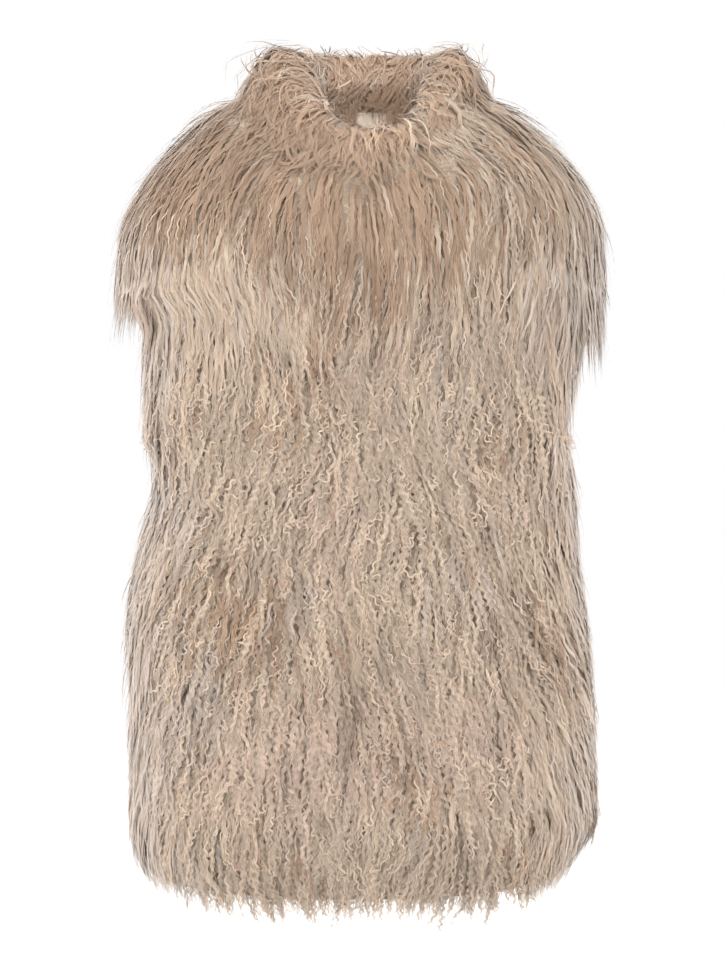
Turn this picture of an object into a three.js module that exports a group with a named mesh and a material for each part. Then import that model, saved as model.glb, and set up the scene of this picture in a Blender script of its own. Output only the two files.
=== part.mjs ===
// Long-haired shearling vest, worn shape with nobody in it, in millimetres.
// Front faces -Y, +X is the viewer's right, +Z is up. The origin is on the middle plane at the height of the
// shoulders' inner ends, where a wearer or a hanger carries the vest.
import * as THREE from "three";
import { mergeVertices } from "three/addons/utils/BufferGeometryUtils.js";

// Driving dimensions
const SEAM_GAP = 0.3;
const PARTING_DEPTH = 10;
const PARTING_REACH = 0.1;
const TUFT_DEPTH = 6;
const COLLAR_TUFT_DEPTH = 3;
const TUFT_ROWS = 3;
const STEPS_ACROSS = 13;
const STEPS_PER_ROW = 2;
const SQUARENESS = 2.3;
const LABEL_WIDTH = 42;
const LABEL_HEIGHT = 20;
const LABEL_THICKNESS = 0.8;
const LABEL_BELOW_SEAM = 3;
const LABEL_STEPS = 8;

// The panels' rows, from the hem up to the neckline. A row is half an oval: it starts at the centre of the
// front or back, at closeX, frontZ or backZ and frontDepth or backDepth, and ends at the panel's edge, at
// leftX or rightX, edgeY and edgeZ. The edge runs up the side seam, round the armhole from row underarm to
// row tip, and in along the shoulder seam. WOOL_ROWS is how far the wool reaches, SKIN_ROWS the skin's inside.
const COLUMNS = ["closeX", "frontZ", "frontDepth", "backZ", "backDepth", "leftX", "rightX", "edgeY", "edgeZ"];
const WOOL_ROWS = table(COLUMNS, {
  hemTips: [-6, -790, 142, -797, 130, 212, 197, 0, -777],
  hemTurn: [-6, -760, 159, -767, 146, 228, 216, 0, -748],
  low: [-8, -703, 166, -708, 150, 236, 238, 0, -700],
  hip: [-12, -610, 168, -615, 150, 236, 235, 0, -608],
  waist: [-14, -520, 165, -525, 148, 239, 229, 0, -522],
  ribs: [-12, -440, 161, -445, 146, 229, 220, 0, -442],
  bust: [-4, -375, 158, -380, 145, 214, 219, 0, -382],
  underarm: [6, -325, 157, -325, 145, 218, 216, 0, -345],
  armholeLow: [13, -285, 155, -280, 144, 220, 212, 38, -327],
  armholeMid: [15, -245, 152, -235, 142, 221, 215, 52, -284],
  armholeHigh: [15, -205, 148, -190, 139, 221, 230, 56, -233],
  capLip: [15, -165, 142, -150, 134, 248, 242, 44, -208],
  tip: [15, -130, 134, -110, 127, 251, 248, 0, -192],
  capTop: [15, -104, 126, -75, 119, 249, 249, 0, -133],
  shoulderOuter: [15, -82, 119, -45, 112, 230, 235, 0, -84],
  shoulderMid: [14, -65, 112, -20, 106, 197, 201, 0, -38],
  shoulderInner: [13, -52, 105, 0, 100, 157, 159, 0, 4],
  neckline: [12, -42, 99, 15, 95, 117, 121, 0, 30],
});
const SKIN_ROWS = table(COLUMNS, {
  hemTips: [-6, -742, 120, -748, 112, 187, 184, 0, -734],
  hemTurn: [-6, -715, 121, -720, 112, 190, 188, 0, -709],
  low: [-8, -675, 122, -678, 112, 192, 192, 0, -672],
  hip: [-12, -600, 122, -605, 111, 191, 191, 0, -600],
  waist: [-14, -518, 120, -522, 109, 188, 187, 0, -520],
  ribs: [-12, -440, 118, -443, 107, 183, 182, 0, -441],
  bust: [-4, -378, 117, -380, 107, 177, 178, 0, -380],
  underarm: [6, -325, 116, -325, 108, 174, 174, 0, -338],
  armholeLow: [13, -285, 115, -280, 108, 173, 172, 44, -318],
  armholeMid: [15, -240, 112, -232, 107, 172, 172, 64, -270],
  armholeHigh: [15, -195, 107, -183, 103, 175, 176, 66, -212],
  capLip: [15, -155, 100, -140, 97, 188, 189, 52, -146],
  tip: [15, -122, 93, -100, 91, 200, 200, 0, -112],
  capTop: [15, -100, 87, -70, 86, 183, 184, 0, -88],
  shoulderOuter: [15, -84, 81, -45, 81, 158, 160, 0, -62],
  shoulderMid: [14, -70, 76, -24, 76, 130, 133, 0, -38],
  shoulderInner: [13, -58, 72, -6, 72, 102, 106, 0, -18],
  neckline: [12, -48, 68, 8, 68, 76, 80, 0, -4],
});

// The collar's rows between the necklines of the wool and the skin: up the outside, over the crest, down inside
const COLLAR_ROWS = table(COLUMNS, {
  outside: [12, -34, 95, 42, 98, 106, 113, 0, 44],
  crestOut: [12, -27, 82, 64, 84, 84, 94, 0, 60],
  crestIn: [12, -31, 68, 60, 66, 60, 74, 0, 55],
  inside: [12, -40, 60, 34, 56, 52, 64, 0, 24],
});

// Rows of a table as objects, with each column by its name
function table(columns, rows) {
  return Object.values(rows).map((cells) => Object.fromEntries(columns.map((name, i) => [name, cells[i]])));
}

// Smooth curve through evenly spaced values that never swings past them
function smoothAt(values, place) {
  const last = values.length - 1;
  const i = Math.min(Math.floor(place), last - 1);
  const t = place - i;
  const rise = (k) => values[k + 1] - values[k];
  const slope = (k) => {
    if (k === 0) return rise(0);
    if (k === last) return rise(last - 1);
    const before = rise(k - 1);
    const after = rise(k);
    return before * after <= 0 ? 0 : (2 * before * after) / (before + after);
  };
  const cubic = t * t * (3 - 2 * t);
  const bend = t * (1 - t);
  return values[i] + rise(i) * cubic + bend * ((1 - t) * slope(i) - t * slope(i + 1));
}

// One row of a table at any height between its rows
function rowAt(rows, place) {
  return Object.fromEntries(COLUMNS.map((name) => [name, smoothAt(rows.map((row) => row[name]), place)]));
}

// A point of a row. side is -1 for the left half and +1 for the right, face is "front" or "back", and
// across runs from 0 at the centre to 1 at the edge.
function pointOf(row, side, face, across) {
  const forward = face === "front" ? -1 : 1;
  const edgeX = side < 0 ? -row.leftX : row.rightX;
  const startX = row.closeX + (face === "front" ? (side * SEAM_GAP) / 2 : 0);
  const edgeY = Math.max(row.edgeY, SEAM_GAP / 2);
  const power = 2 / SQUARENESS;
  const turn = (across * Math.PI) / 2;
  const out = across === 1 ? 1 : Math.sin(turn) ** power;
  const back = across === 1 ? 0 : Math.cos(turn) ** power;
  const centreZ = row[face + "Z"];
  return new THREE.Vector3(
    startX + (edgeX - startX) * out,
    forward * (edgeY + (row[face + "Depth"] - edgeY) * back),
    centreZ + (row.edgeZ - centreZ) * Math.sin(turn) ** 2,
  );
}

// Uneven tufts of the wool: a seeded wave from -1 to 1 that runs down the locks and changes across them
function tuft(i, j, seed) {
  const beat = Math.sin(12.9898 * i + 4.137 * Math.floor(j / TUFT_ROWS + 0.37 * i) + 7.31 * seed);
  return Math.sin(43.7 * beat);
}

// A wool row's point with its tufts, which fade towards the edges, and the parting where the two fronts meet
function woolPoint(row, side, face, across, i, j, tuftDepth) {
  const point = pointOf(row, side, face, across);
  const centre = new THREE.Vector3(row.closeX, 0, point.z);
  const inwards = centre.sub(point).normalize();
  const fade = Math.sqrt(4 * across * (1 - across));
  const raised = fade * tuftDepth * tuft(i, j, side + 2 * (face === "front"));
  const parting = face === "front" ? PARTING_DEPTH * Math.max(0, 1 - across / PARTING_REACH) : 0;
  return point.addScaledVector(inwards, parting - raised);
}

// Closed solid between an outer and an inner grid of points, both indexed [row][column]
function wallBetween(outer, inner) {
  const triangles = [];
  const quad = (a, b, c, d) => triangles.push(a, b, c, a, c, d);
  const rows = outer.length - 1;
  const columns = outer[0].length - 1;
  for (let j = 0; j < rows; j++) {
    for (let i = 0; i < columns; i++) {
      quad(outer[j][i], outer[j][i + 1], outer[j + 1][i + 1], outer[j + 1][i]);
      quad(inner[j][i], inner[j + 1][i], inner[j + 1][i + 1], inner[j][i + 1]);
    }
    quad(outer[j][0], outer[j + 1][0], inner[j + 1][0], inner[j][0]);
    quad(outer[j][columns], inner[j][columns], inner[j + 1][columns], outer[j + 1][columns]);
  }
  for (let i = 0; i < columns; i++) {
    quad(outer[0][i], inner[0][i], inner[0][i + 1], outer[0][i + 1]);
    quad(outer[rows][i], outer[rows][i + 1], inner[rows][i + 1], inner[rows][i]);
  }
  const positions = new Float32Array(triangles.flatMap((p) => [p.x, p.y, p.z]));
  const geometry = new THREE.BufferGeometry();
  geometry.setAttribute("position", new THREE.BufferAttribute(positions, 3));
  return mergeVertices(geometry, 1e-3);
}

// The columns of a panel: one half of the front, or the whole back from its left edge to its right edge
function columnsOf(halves) {
  const steps = Array.from({ length: STEPS_ACROSS + 1 }, (_, i) => i / STEPS_ACROSS);
  return halves.flatMap((side, k) => {
    const half = steps.map((across, i) => ({ side, across, i }));
    const ordered = side < 0 ? half.reverse() : half;
    return k === 0 ? ordered : ordered.slice(1);
  });
}

// A panel's wall: its wool points outside and its skin points inside, row by row
function panelGeometry(face, halves) {
  const columns = columnsOf(halves);
  const count = (WOOL_ROWS.length - 1) * STEPS_PER_ROW;
  const outer = [];
  const inner = [];
  for (let j = 0; j <= count; j++) {
    const wool = rowAt(WOOL_ROWS, j / STEPS_PER_ROW);
    const skin = rowAt(SKIN_ROWS, j / STEPS_PER_ROW);
    const flat = j === 0 || j === count;
    outer.push(
      columns.map(({ side, across, i }) =>
        flat ? pointOf(wool, side, face, across) : woolPoint(wool, side, face, across, i, j, TUFT_DEPTH),
      ),
    );
    inner.push(columns.map(({ side, across }) => pointOf(skin, side, face, across)));
  }
  return face === "front" ? wallBetween(outer, inner) : wallBetween(inner, outer);
}

// The collar band, once round the neck from the closing on the left to the closing on the right
function collarGeometry() {
  const quarter = (side, face, reverse) => {
    const points = columnsOf([1]).map(({ across, i }) => ({ side, face, across, i }));
    return reverse ? points.reverse() : points;
  };
  const columns = [
    ...quarter(-1, "front", false),
    ...quarter(-1, "back", true),
    ...quarter(1, "back", false).slice(1),
    ...quarter(1, "front", true),
  ];
  const seat = (rows) => {
    const row = { ...rows[rows.length - 1] };
    for (const name of ["frontZ", "backZ", "edgeZ"]) row[name] += SEAM_GAP;
    return row;
  };
  const line = (row, j) =>
    columns.map(({ side, face, across, i }) =>
      j === null
        ? pointOf(row, side, face, across)
        : woolPoint(row, side, face, across, i, j, COLLAR_TUFT_DEPTH),
    );
  const [outside, crestOut, crestIn, inside] = COLLAR_ROWS;
  const outer = [line(seat(WOOL_ROWS), null), line(outside, 1), line(crestOut, 2)];
  const inner = [line(seat(SKIN_ROWS), null), line(inside, null), line(crestIn, null)];
  return wallBetween(inner, outer);
}

// The blank label on the inside of the back neck: the skin's own points moved inwards
function labelGeometry() {
  const last = SKIN_ROWS.length - 1;
  const neck = SKIN_ROWS[last];
  const rowDrop = neck.backZ - SKIN_ROWS[last - 1].backZ;
  const top = last - LABEL_BELOW_SEAM / rowDrop;
  const bottom = top - LABEL_HEIGHT / rowDrop;
  const sheet = (depth) =>
    [bottom, (bottom + top) / 2, top].map((place) => {
      const row = rowAt(SKIN_ROWS, place);
      const line = [];
      for (let i = 0; i <= LABEL_STEPS; i++) {
        const x = LABEL_WIDTH * (i / LABEL_STEPS - 0.5);
        const reach = (x < 0 ? row.leftX : row.rightX) - Math.sign(x) * row.closeX;
        const across = (2 / Math.PI) * Math.asin(Math.abs(x / reach) ** (SQUARENESS / 2));
        const point = pointOf(row, Math.sign(x) || 1, "back", across);
        const centre = new THREE.Vector3(row.closeX, 0, point.z);
        line.push(point.addScaledVector(centre.sub(point).normalize(), depth));
      }
      return line;
    });
  return wallBetween(sheet(SEAM_GAP + LABEL_THICKNESS), sheet(SEAM_GAP));
}

function piece(name, geometry, colour, roughness) {
  const material = new THREE.MeshStandardMaterial({ color: colour, roughness, metalness: 0 });
  const mesh = new THREE.Mesh(geometry, material);
  mesh.name = name;
  return mesh;
}

const WOOL_COLOUR = 0xc8b49e;
const COLLAR_COLOUR = 0xb59a80;
const LABEL_COLOUR = 0xdccbb8;

const vest = new THREE.Group();
vest.name = "shearling_vest";
vest.add(
  piece("front_left", panelGeometry("front", [-1]), WOOL_COLOUR, 0.9),
  piece("front_right", panelGeometry("front", [1]), WOOL_COLOUR, 0.9),
  piece("back", panelGeometry("back", [-1, 1]), WOOL_COLOUR, 0.9),
  piece("collar", collarGeometry(), COLLAR_COLOUR, 0.9),
  piece("neck_label", labelGeometry(), LABEL_COLOUR, 0.6),
);

export default vest;
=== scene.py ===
import math

import bmesh
import bpy
import numpy as np
from bpy.props import FloatProperty, FloatVectorProperty, IntProperty, PointerProperty
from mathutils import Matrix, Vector


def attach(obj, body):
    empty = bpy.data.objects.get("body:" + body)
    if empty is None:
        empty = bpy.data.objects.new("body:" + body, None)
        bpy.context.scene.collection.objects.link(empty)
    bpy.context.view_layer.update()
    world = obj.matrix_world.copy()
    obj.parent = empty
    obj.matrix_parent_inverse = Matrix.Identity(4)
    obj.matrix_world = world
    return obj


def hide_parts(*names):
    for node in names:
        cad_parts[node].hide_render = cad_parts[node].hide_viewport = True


bl_info = {
    "name": "Shearling vest",
    "version": (1, 0, 0),
    "blender": (4, 5, 0),
    "location": "View3D > Sidebar > Vest",
    "description": "Builds a long-haired shearling vest with its skins, underwool, locks and label",
    "category": "Object",
}

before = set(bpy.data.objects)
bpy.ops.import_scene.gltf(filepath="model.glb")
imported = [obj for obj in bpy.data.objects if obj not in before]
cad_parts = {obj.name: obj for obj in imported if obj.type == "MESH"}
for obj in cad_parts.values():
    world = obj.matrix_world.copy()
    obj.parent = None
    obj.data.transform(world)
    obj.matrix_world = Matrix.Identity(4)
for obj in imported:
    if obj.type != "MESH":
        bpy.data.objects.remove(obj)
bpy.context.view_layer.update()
MM = 0.001

# The panels' rows from the hem up to the neckline, in millimetres, as the solids have them. A row is half an
# oval from the centre of the front or back to the panel's edge. The edge runs up the side seam, round the
# armhole from underarm to tip, and in along the shoulder seam.
COLUMNS = (
    "close_x",
    "front_z",
    "front_depth",
    "back_z",
    "back_depth",
    "left_x",
    "right_x",
    "edge_y",
    "edge_z",
)
WOOL_ROWS = {
    "hem_tips": (-6, -790, 142, -797, 130, 212, 197, 0, -777),
    "hem_turn": (-6, -760, 159, -767, 146, 228, 216, 0, -748),
    "low": (-8, -703, 166, -708, 150, 236, 238, 0, -700),
    "hip": (-12, -610, 168, -615, 150, 236, 235, 0, -608),
    "waist": (-14, -520, 165, -525, 148, 239, 229, 0, -522),
    "ribs": (-12, -440, 161, -445, 146, 229, 220, 0, -442),
    "bust": (-4, -375, 158, -380, 145, 214, 219, 0, -382),
    "underarm": (6, -325, 157, -325, 145, 218, 216, 0, -345),
    "armhole_low": (13, -285, 155, -280, 144, 220, 212, 38, -327),
    "armhole_mid": (15, -245, 152, -235, 142, 221, 215, 52, -284),
    "armhole_high": (15, -205, 148, -190, 139, 221, 230, 56, -233),
    "cap_lip": (15, -165, 142, -150, 134, 248, 242, 44, -208),
    "tip": (15, -130, 134, -110, 127, 251, 248, 0, -192),
    "cap_top": (15, -104, 126, -75, 119, 249, 249, 0, -133),
    "shoulder_outer": (15, -82, 119, -45, 112, 230, 235, 0, -84),
    "shoulder_mid": (14, -65, 112, -20, 106, 197, 201, 0, -38),
    "shoulder_inner": (13, -52, 105, 0, 100, 157, 159, 0, 4),
    "neckline": (12, -42, 99, 15, 95, 117, 121, 0, 30),
}
SKIN_ROWS = {
    "hem_tips": (-6, -742, 120, -748, 112, 187, 184, 0, -734),
    "hem_turn": (-6, -715, 121, -720, 112, 190, 188, 0, -709),
    "low": (-8, -675, 122, -678, 112, 192, 192, 0, -672),
    "hip": (-12, -600, 122, -605, 111, 191, 191, 0, -600),
    "waist": (-14, -518, 120, -522, 109, 188, 187, 0, -520),
    "ribs": (-12, -440, 118, -443, 107, 183, 182, 0, -441),
    "bust": (-4, -378, 117, -380, 107, 177, 178, 0, -380),
    "underarm": (6, -325, 116, -325, 108, 174, 174, 0, -338),
    "armhole_low": (13, -285, 115, -280, 108, 173, 172, 44, -318),
    "armhole_mid": (15, -240, 112, -232, 107, 172, 172, 64, -270),
    "armhole_high": (15, -195, 107, -183, 103, 175, 176, 66, -212),
    "cap_lip": (15, -155, 100, -140, 97, 188, 189, 52, -146),
    "tip": (15, -122, 93, -100, 91, 200, 200, 0, -112),
    "cap_top": (15, -100, 87, -70, 86, 183, 184, 0, -88),
    "shoulder_outer": (15, -84, 81, -45, 81, 158, 160, 0, -62),
    "shoulder_mid": (14, -70, 76, -24, 76, 130, 133, 0, -38),
    "shoulder_inner": (13, -58, 72, -6, 72, 102, 106, 0, -18),
    "neckline": (12, -48, 68, 8, 68, 76, 80, 0, -4),
}
COLLAR_ROWS = {
    "outside": (12, -34, 95, 42, 98, 106, 113, 0, 44),
    "crest_out": (12, -27, 82, 64, 84, 84, 94, 0, 60),
    "crest_in": (12, -31, 68, 60, 66, 60, 74, 0, 55),
    "inside": (12, -40, 60, 34, 56, 52, 64, 0, 24),
}
ROW_NAMES = tuple(WOOL_ROWS)
UNDERARM = ROW_NAMES.index("underarm")
TIP = ROW_NAMES.index("tip")
TOP = len(ROW_NAMES) - 1
SQUARENESS = 2.3
SEAM_GAP = 0.3
PARTING_DEPTH = 10
PARTING_REACH = 0.1

# The collar's skin lies inside its wool: this share of the way from the far side's row, lower at the crest
CORE_SHARE = 0.56
CREST_DROP = 7

# The shoulder caps' wool starts this far out and this many rows below the tip. It leaves the form at the lip,
# also counted in rows below the tip, and hangs free down to these heights at the left and right.
CAP_START = 0.62
CAP_ROWS = 0.6
CAP_LIP = 0.4
CAP_ENDS = (-205, -248)

# Hollows where the long wool parts, in millimetres: each runs down from its top to its foot
TROUGH_COLUMNS = ("face", "top_x", "top_z", "foot_x", "foot_z", "width", "depth")
TROUGHS = (
    ("front", 15, -165, 15, -280, 9, 9),
    ("front", -4, -480, -18, -665, 9, 10),
    ("front", 30, -470, 42, -655, 13, 8),
    ("front", -48, -300, -62, -455, 10, 5),
    ("front", 62, -215, 78, -395, 11, 5),
    ("front", -112, -395, -150, -600, 13, 6),
    ("front", 118, -410, 158, -590, 12, 6),
    ("front", -70, -560, -84, -735, 12, 5),
    ("front", 96, -640, 112, -765, 11, 5),
    ("front", -38, 20, -70, -85, 10, 5),
    ("front", 62, 12, 92, -92, 10, 5),
    ("back", 10, -60, 4, -330, 12, 6),
    ("back", -70, -180, -92, -420, 12, 6),
    ("back", 84, -240, 112, -470, 13, 6),
    ("back", -26, -430, -38, -700, 12, 7),
    ("back", 46, -500, 60, -740, 11, 5),
    ("back", -140, -470, -166, -690, 13, 5),
    ("back", 150, -540, 168, -730, 12, 6),
)

# Where brown wool grows: its strength, then the middle's x and z, half width and half height in millimetres
WARM_SPOTS = (
    (1.1, (-75, 0, 75, 60)),
    (1.0, (65, 45, 45, 45)),
    (0.5, (20, -100, 120, 60)),
    (0.3, (-35, -310, 45, 130)),
    (0.7, (5, -45, 90, 35)),
)

# The shearling's layers, in millimetres and as shares of the way from the skin to the wool's reach
SKIN_THICKNESS = 1.8
UNDERWOOL_HEIGHT = 0.74
ROOT_HEIGHT = 0.6

# The locks' map: across it a column for each way of curling and each tone, up it a row for each lightness. A
# lock runs up its cell from root to tip, and short ones use only the cell's end.
TONE_FAMILIES = ("warm", "beige", "pink", "grey")
MAP_COLUMNS = 2 * len(TONE_FAMILIES)
LIGHTNESS = (0.64, 0.76, 0.87, 0.98, 1.14)
LIGHTEST = 1.25
# Painted shade along each lock: its lightness from the root, at 0, to the tip, at 1, darkest at the root
# where the locks lie under others
ROOT_SHADE = ((0.0, 0.46), (0.3, 0.7), (0.62, 0.94), (1.0, 1.0))
CELL_LENGTH = 110.0
MOST_USED = 0.985
FIBRES_ACROSS = 8

# A ribbon's normals lie between the way out of the wool and its own, and never point far down
OUTWARD_SHARE = 0.58
LOWEST_NORMAL = -0.25

LOCK_STEPS = 12
CURL_STEPS = 30
SEED = 41
DOWN = np.array([0.0, 0.0, -1.0])

# The bare label inside the back neck, in millimetres
LABEL_WIDTH = 42
LABEL_MIDDLE = 12
LABEL_HEIGHT = 20
LABEL_THICKNESS = 0.8
LABEL_BELOW_SEAM = 3
STITCH_INSET = 2.0
STITCH_SPACING = 2.6
STITCH_SIZE = (0.85, 0.28, 0.28)


def columns_of(rows):
    """The table's columns as arrays, by name."""
    cells = np.array(list(rows.values()), float)
    return {name: cells[:, i] for i, name in enumerate(COLUMNS)}


def smooth_at(values, place):
    """A smooth curve through evenly spaced values that never swings past them."""
    rise = np.diff(values)
    both = rise[:-1] * rise[1:]
    total = rise[:-1] + rise[1:]
    inner = np.where(both > 0, 2 * both / np.where(total == 0, 1, total), 0)
    slope = np.concatenate([rise[:1], inner, rise[-1:]])
    i = np.clip(place.astype(int), 0, len(rise) - 1)
    t = place - i
    bend = t * (1 - t) * ((1 - t) * slope[i] - t * slope[i + 1])
    return values[i] + rise[i] * t * t * (3 - 2 * t) + bend


def panel_point(rows, face, u, place):
    """Points of a panel, in millimetres. u runs from -1 at the left edge over 0 at the centre to 1 at the
    right edge, place counts the rows up from the hem, and face is front or back."""
    row = {name: smooth_at(values, place) for name, values in columns_of(rows).items()}
    forward = -1 if face == "front" else 1
    across = np.clip(np.abs(u), 0, 1)
    edge_x = np.where(u < 0, -row["left_x"], row["right_x"])
    start_x = row["close_x"] + (np.where(u < 0, -0.5, 0.5) * SEAM_GAP if face == "front" else 0)
    edge_y = np.maximum(row["edge_y"], SEAM_GAP / 2)
    turn = across * math.pi / 2
    out = np.sin(turn) ** (2 / SQUARENESS)
    back = np.clip(np.cos(turn), 0, 1) ** (2 / SQUARENESS)
    centre_z = row[face + "_z"]
    x = start_x + (edge_x - start_x) * out
    y = forward * (edge_y + (row[face + "_depth"] - edge_y) * back)
    z = centre_z + (row["edge_z"] - centre_z) * np.sin(turn) ** 2
    return np.stack([x, y, z], -1)


def parting(face, u):
    """How far the wool sinks beside the centre front, from 0 to 1."""
    if face == "back":
        return np.zeros_like(u)
    return np.clip(1 - np.abs(u) / PARTING_REACH, 0, 1)


def trough_at(face, points):
    """How far the wool sinks in the hollows, in millimetres."""
    total = np.zeros(len(points))
    for row in TROUGHS:
        trough = dict(zip(TROUGH_COLUMNS, row))
        if trough["face"] != face:
            continue
        top = np.array([trough["top_x"], trough["top_z"]], float)
        run = np.array([trough["foot_x"], trough["foot_z"]], float) - top
        away = points[:, [0, 2]] - top
        share = away @ run / (run @ run)
        aside = np.abs(away[:, 0] * run[1] - away[:, 1] * run[0]) / np.linalg.norm(run)
        ends = np.clip(np.minimum(share, 1 - share) * 4 + 0.2, 0, 1)
        total += trough["depth"] * ends * np.exp(-((aside / trough["width"]) ** 2))
    return total


def layer_point(face, u, place, height):
    """Points between the skin, at height 0, and the wool's reach, at height 1, in millimetres."""
    skin = panel_point(SKIN_ROWS, face, u, place)
    wool = panel_point(WOOL_ROWS, face, u, place)
    inward = unit(np.stack([-wool[:, 0], -wool[:, 1], np.zeros(len(wool))], -1))
    wool = wool + inward * (PARTING_DEPTH * parting(face, u) + trough_at(face, wool))[:, None]
    return skin + (wool - skin) * height[:, None]


def ripple(points, size, seed):
    """Soft seeded waves from about -1 to 1 over points in millimetres, with features of about that size."""
    chance = np.random.RandomState(seed)
    total = np.zeros(len(points))
    waves = 7
    for _ in range(waves):
        direction = chance.normal(size=3)
        direction /= np.linalg.norm(direction)
        stretch = chance.uniform(0.6, 1.6)
        phase = chance.uniform(0, 2 * math.pi)
        total += np.sin(points @ direction * (math.pi / size) * stretch + phase)
    return total / math.sqrt(waves)


def unit(vectors):
    return vectors / np.maximum(np.linalg.norm(vectors, axis=-1, keepdims=True), 1e-9)


class Field:
    """A shader socket. Arithmetic on it adds Math nodes."""

    def __init__(self, shader, socket):
        self.shader = shader
        self.socket = socket

    def math(self, operation, *others):
        values = dict(enumerate((self,) + others))
        return self.shader.node("ShaderNodeMath", {"operation": operation}, values)

    def __add__(self, other):
        return self.math("ADD", other)

    def __mul__(self, other):
        return self.math("MULTIPLY", other)

    def __sub__(self, other):
        return self.math("SUBTRACT", other)

    def __truediv__(self, other):
        return self.math("DIVIDE", other)

    def __rsub__(self, other):
        return self.shader.node("ShaderNodeMath", {"operation": "SUBTRACT"}, {0: other, 1: self})

    __radd__ = __add__
    __rmul__ = __mul__

    def power(self, other):
        return self.math("POWER", other)


class Shader:
    """A material made of nodes."""

    def __init__(self, name):
        self.material = bpy.data.materials.new(name)
        self.material.use_nodes = True
        self.tree = self.material.node_tree
        self.tree.nodes.clear()

    def node(self, kind, settings=None, inputs=None, output=0):
        """Adds a node. settings are set first: its own properties, or stops for a ramp. inputs are values or
        Fields by socket name or number."""
        made = self.tree.nodes.new(kind)
        for key, value in (settings or {}).items():
            if key == "stops":
                self.stops(made.color_ramp, value)
            elif key == "interpolation":
                made.color_ramp.interpolation = value
            else:
                setattr(made, key, value)
        for key, value in (inputs or {}).items():
            if isinstance(value, Field):
                self.tree.links.new(value.socket, made.inputs[key])
            else:
                made.inputs[key].default_value = value
        return Field(self, made.outputs[output]) if made.outputs else None

    @staticmethod
    def stops(ramp, stops):
        while len(ramp.elements) > 1:
            ramp.elements.remove(ramp.elements[-1])
        for i, (position, colour) in enumerate(stops):
            element = ramp.elements[0] if i == 0 else ramp.elements.new(position)
            element.position = position
            element.color = (*colour, 1.0)

    def uv(self):
        """The two coordinates of the piece's own map."""
        place = self.node("ShaderNodeUVMap", {"uv_map": "OFBake"})
        split = self.node("ShaderNodeSeparateXYZ", None, {0: place})
        return split, Field(self, split.socket.node.outputs[1])

    def vector(self, x, y, z=0.0):
        return self.node("ShaderNodeCombineXYZ", None, {0: x, 1: y, 2: z})

    def noise(self, vector, scale=1.0, detail=2.0, roughness=0.5):
        values = {"Vector": vector, "Scale": scale, "Detail": detail, "Roughness": roughness}
        return self.node("ShaderNodeTexNoise", None, values)

    def white_noise(self, x, y):
        return self.node("ShaderNodeTexWhiteNoise", {"noise_dimensions": "2D"}, {"Vector": self.vector(x, y)})

    def ramp(self, factor, stops, interpolation="LINEAR"):
        return self.node("ShaderNodeValToRGB", {"stops": stops, "interpolation": interpolation}, {0: factor})

    def steps(self, factor, tones):
        """One of the tones for each equal step of the factor from 0 to 1."""
        return self.ramp(factor, [(i / len(tones), tone) for i, tone in enumerate(tones)], "CONSTANT")

    def shaded(self, colour, light):
        """A colour times a number."""
        return self.node("ShaderNodeVectorMath", {"operation": "SCALE"}, {0: colour, 3: light})

    def finish(self, colour, roughness, height=None, depth=0.001, strength=0.5, sheen=0.0, alpha=1.0):
        values = {"Base Color": colour, "Roughness": roughness, "Sheen Weight": sheen, "Alpha": alpha}
        if height is not None:
            bump = {"Height": height, "Distance": depth, "Strength": strength}
            values["Normal"] = self.node("ShaderNodeBump", None, bump)
        surface = self.node("ShaderNodeBsdfPrincipled", None, values)
        self.node("ShaderNodeOutputMaterial", None, {"Surface": surface})
        return self.material


def linear(colour):
    """A display colour as a linear one."""
    return tuple(c / 12.92 if c <= 0.04045 else ((c + 0.055) / 1.055) ** 2.4 for c in colour)


class WoolSizes(bpy.types.PropertyGroup):
    """Sizes of the shearling's locks."""

    panel_locks: IntProperty(
        name="Locks on a half panel",
        description="Locks on each half panel",
        default=3800,
    )
    panel_curls: IntProperty(
        name="Curls on a half panel",
        description="Fine curls on top of them",
        default=1500,
    )
    collar_locks: IntProperty(
        name="Locks on the collar",
        description="Locks on both its sides",
        default=4600,
    )
    length: FloatProperty(
        name="Lock length",
        description="Length of a lock on the chest",
        default=0.09,
        unit="LENGTH",
    )
    width: FloatProperty(
        name="Lock width",
        description="Width of a lock at its middle",
        default=0.0085,
        unit="LENGTH",
    )
    swing: FloatProperty(
        name="Lock swing",
        description="Sideways swing of a whole lock",
        default=0.0017,
        unit="LENGTH",
    )
    waves: FloatProperty(
        name="Waves",
        description="Waves of a curly lock along its whole length",
        default=13.0,
    )


def colour_property(name, description, colour):
    """A display colour that the user can change."""
    return FloatVectorProperty(name=name, description=description, subtype="COLOR_GAMMA", default=colour)


class VestColours(bpy.types.PropertyGroup):
    """Display colours of the vest."""

    warm: colour_property("Warm wool", "Brown wool by the neck", (0.75, 0.625, 0.52))
    beige: colour_property("Beige wool", "Most of the wool", (0.86, 0.77, 0.68))
    pink: colour_property("Pinkish wool", "Wool of the lower front", (0.86, 0.76, 0.68))
    grey: colour_property("Greyish wool", "Wool of the sides", (0.85, 0.78, 0.72))
    skin: colour_property("Skin side", "Suede inside", (0.78, 0.69, 0.58))
    label: colour_property("Label", "Bare woven label", (0.98, 0.95, 0.9))
    stage: colour_property("Floor", "Floor and surroundings", (1.0, 1.0, 1.0))


def sizes():
    return bpy.context.scene.vest_wool


def colours():
    return bpy.context.scene.vest_colours


def cached(name, make):
    """The material of that name, made when it is first needed."""
    return bpy.data.materials.get(name) or make(name)


def tinted(colour, share):
    """A display colour times a share, as a linear one."""
    return linear(tuple(c * share for c in colour))


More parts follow.
